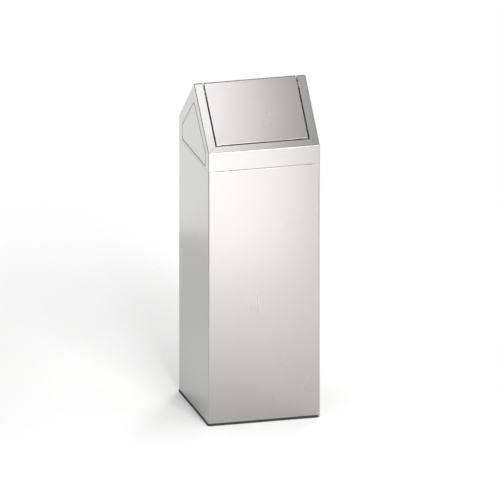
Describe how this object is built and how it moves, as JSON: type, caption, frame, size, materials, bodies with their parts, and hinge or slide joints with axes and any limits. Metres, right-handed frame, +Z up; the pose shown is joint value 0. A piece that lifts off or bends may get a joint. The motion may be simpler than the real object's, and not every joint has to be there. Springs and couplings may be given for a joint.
{
  "type": "swing-top trash can",
  "caption": "Tall square stainless steel bin with a gabled lift-off lid, a flap that swings both ways under the ridge, and a liner with drop handles.",
  "frame": {"origin": "centre of the base, on the floor", "axes": "+Z up, the front faces -Y, +X to the right; the pivot axis of the flap runs along X"},
  "size_m": [0.302, 0.302, 0.8916],
  "materials": {
    "satin_stainless": "satin",
    "inner_stainless": "mill finish",
    "edging_black": "matt",
    "galvanised": "zinc spangle",
    "zinc_plated": "bright plated",
    "bush_plastic": "matt",
    "sleeve_rubber": "matt"
  },
  "bodies": {
    "can": {"body_shell": "satin_stainless", "back_seam_strip": "inner_stainless", "base_edging": "edging_black", "body_floor": "galvanised", "liner_shell": "galvanised", "liner_floor": "galvanised", "liner_rim": "galvanised", "liner_rivets": "zinc_plated", "front_liner_ears": "zinc_plated", "back_liner_ears": "zinc_plated"},
    "lid": {"lid_front_rim": "satin_stainless", "lid_back_rim": "satin_stainless", "lid_left_gable": "satin_stainless", "lid_right_gable": "satin_stainless", "lid_collar": "inner_stainless", "bracket_studs": "zinc_plated", "bracket_nuts": "zinc_plated", "left_pivot_bracket": "zinc_plated", "right_pivot_bracket": "zinc_plated", "left_pivot_bush": "bush_plastic", "right_pivot_bush": "bush_plastic"},
    "flap": {"flap_panel": "satin_stainless", "left_flap_cheek": "inner_stainless", "left_pivot_pin": "zinc_plated", "left_pin_spacer": "bush_plastic", "left_pin_clip": "zinc_plated", "left_stop_post": "zinc_plated", "left_stop_sleeve": "sleeve_rubber", "right_flap_cheek": "inner_stainless", "right_pivot_pin": "zinc_plated", "right_pin_spacer": "bush_plastic", "right_pin_clip": "zinc_plated", "right_stop_post": "zinc_plated", "right_stop_sleeve": "sleeve_rubber"},
    "front_handle": {"front_liner_handle": "zinc_plated"},
    "back_handle": {"back_liner_handle": "zinc_plated"}
  },
  "joints": [
    {"name": "lid_lift", "type": "slide", "parent": "can", "child": "lid", "axis": [0, 0, 1], "range_m": [0, 0.3]},
    {"name": "flap_swing", "type": "hinge", "parent": "lid", "child": "flap", "pos_m": [0, -0.002, 0.8655], "axis": [1, 0, 0], "range_deg": [-60, 60]},
    {"name": "front_handle_swing", "type": "hinge", "parent": "can", "child": "front_handle", "pos_m": [0, -0.1267, 0.64], "axis": [1, 0, 0], "range_deg": [0, 165]},
    {"name": "back_handle_swing", "type": "hinge", "parent": "can", "child": "back_handle", "pos_m": [0, 0.1267, 0.64], "axis": [-1, 0, 0], "range_deg": [0, 165]}
  ]
}
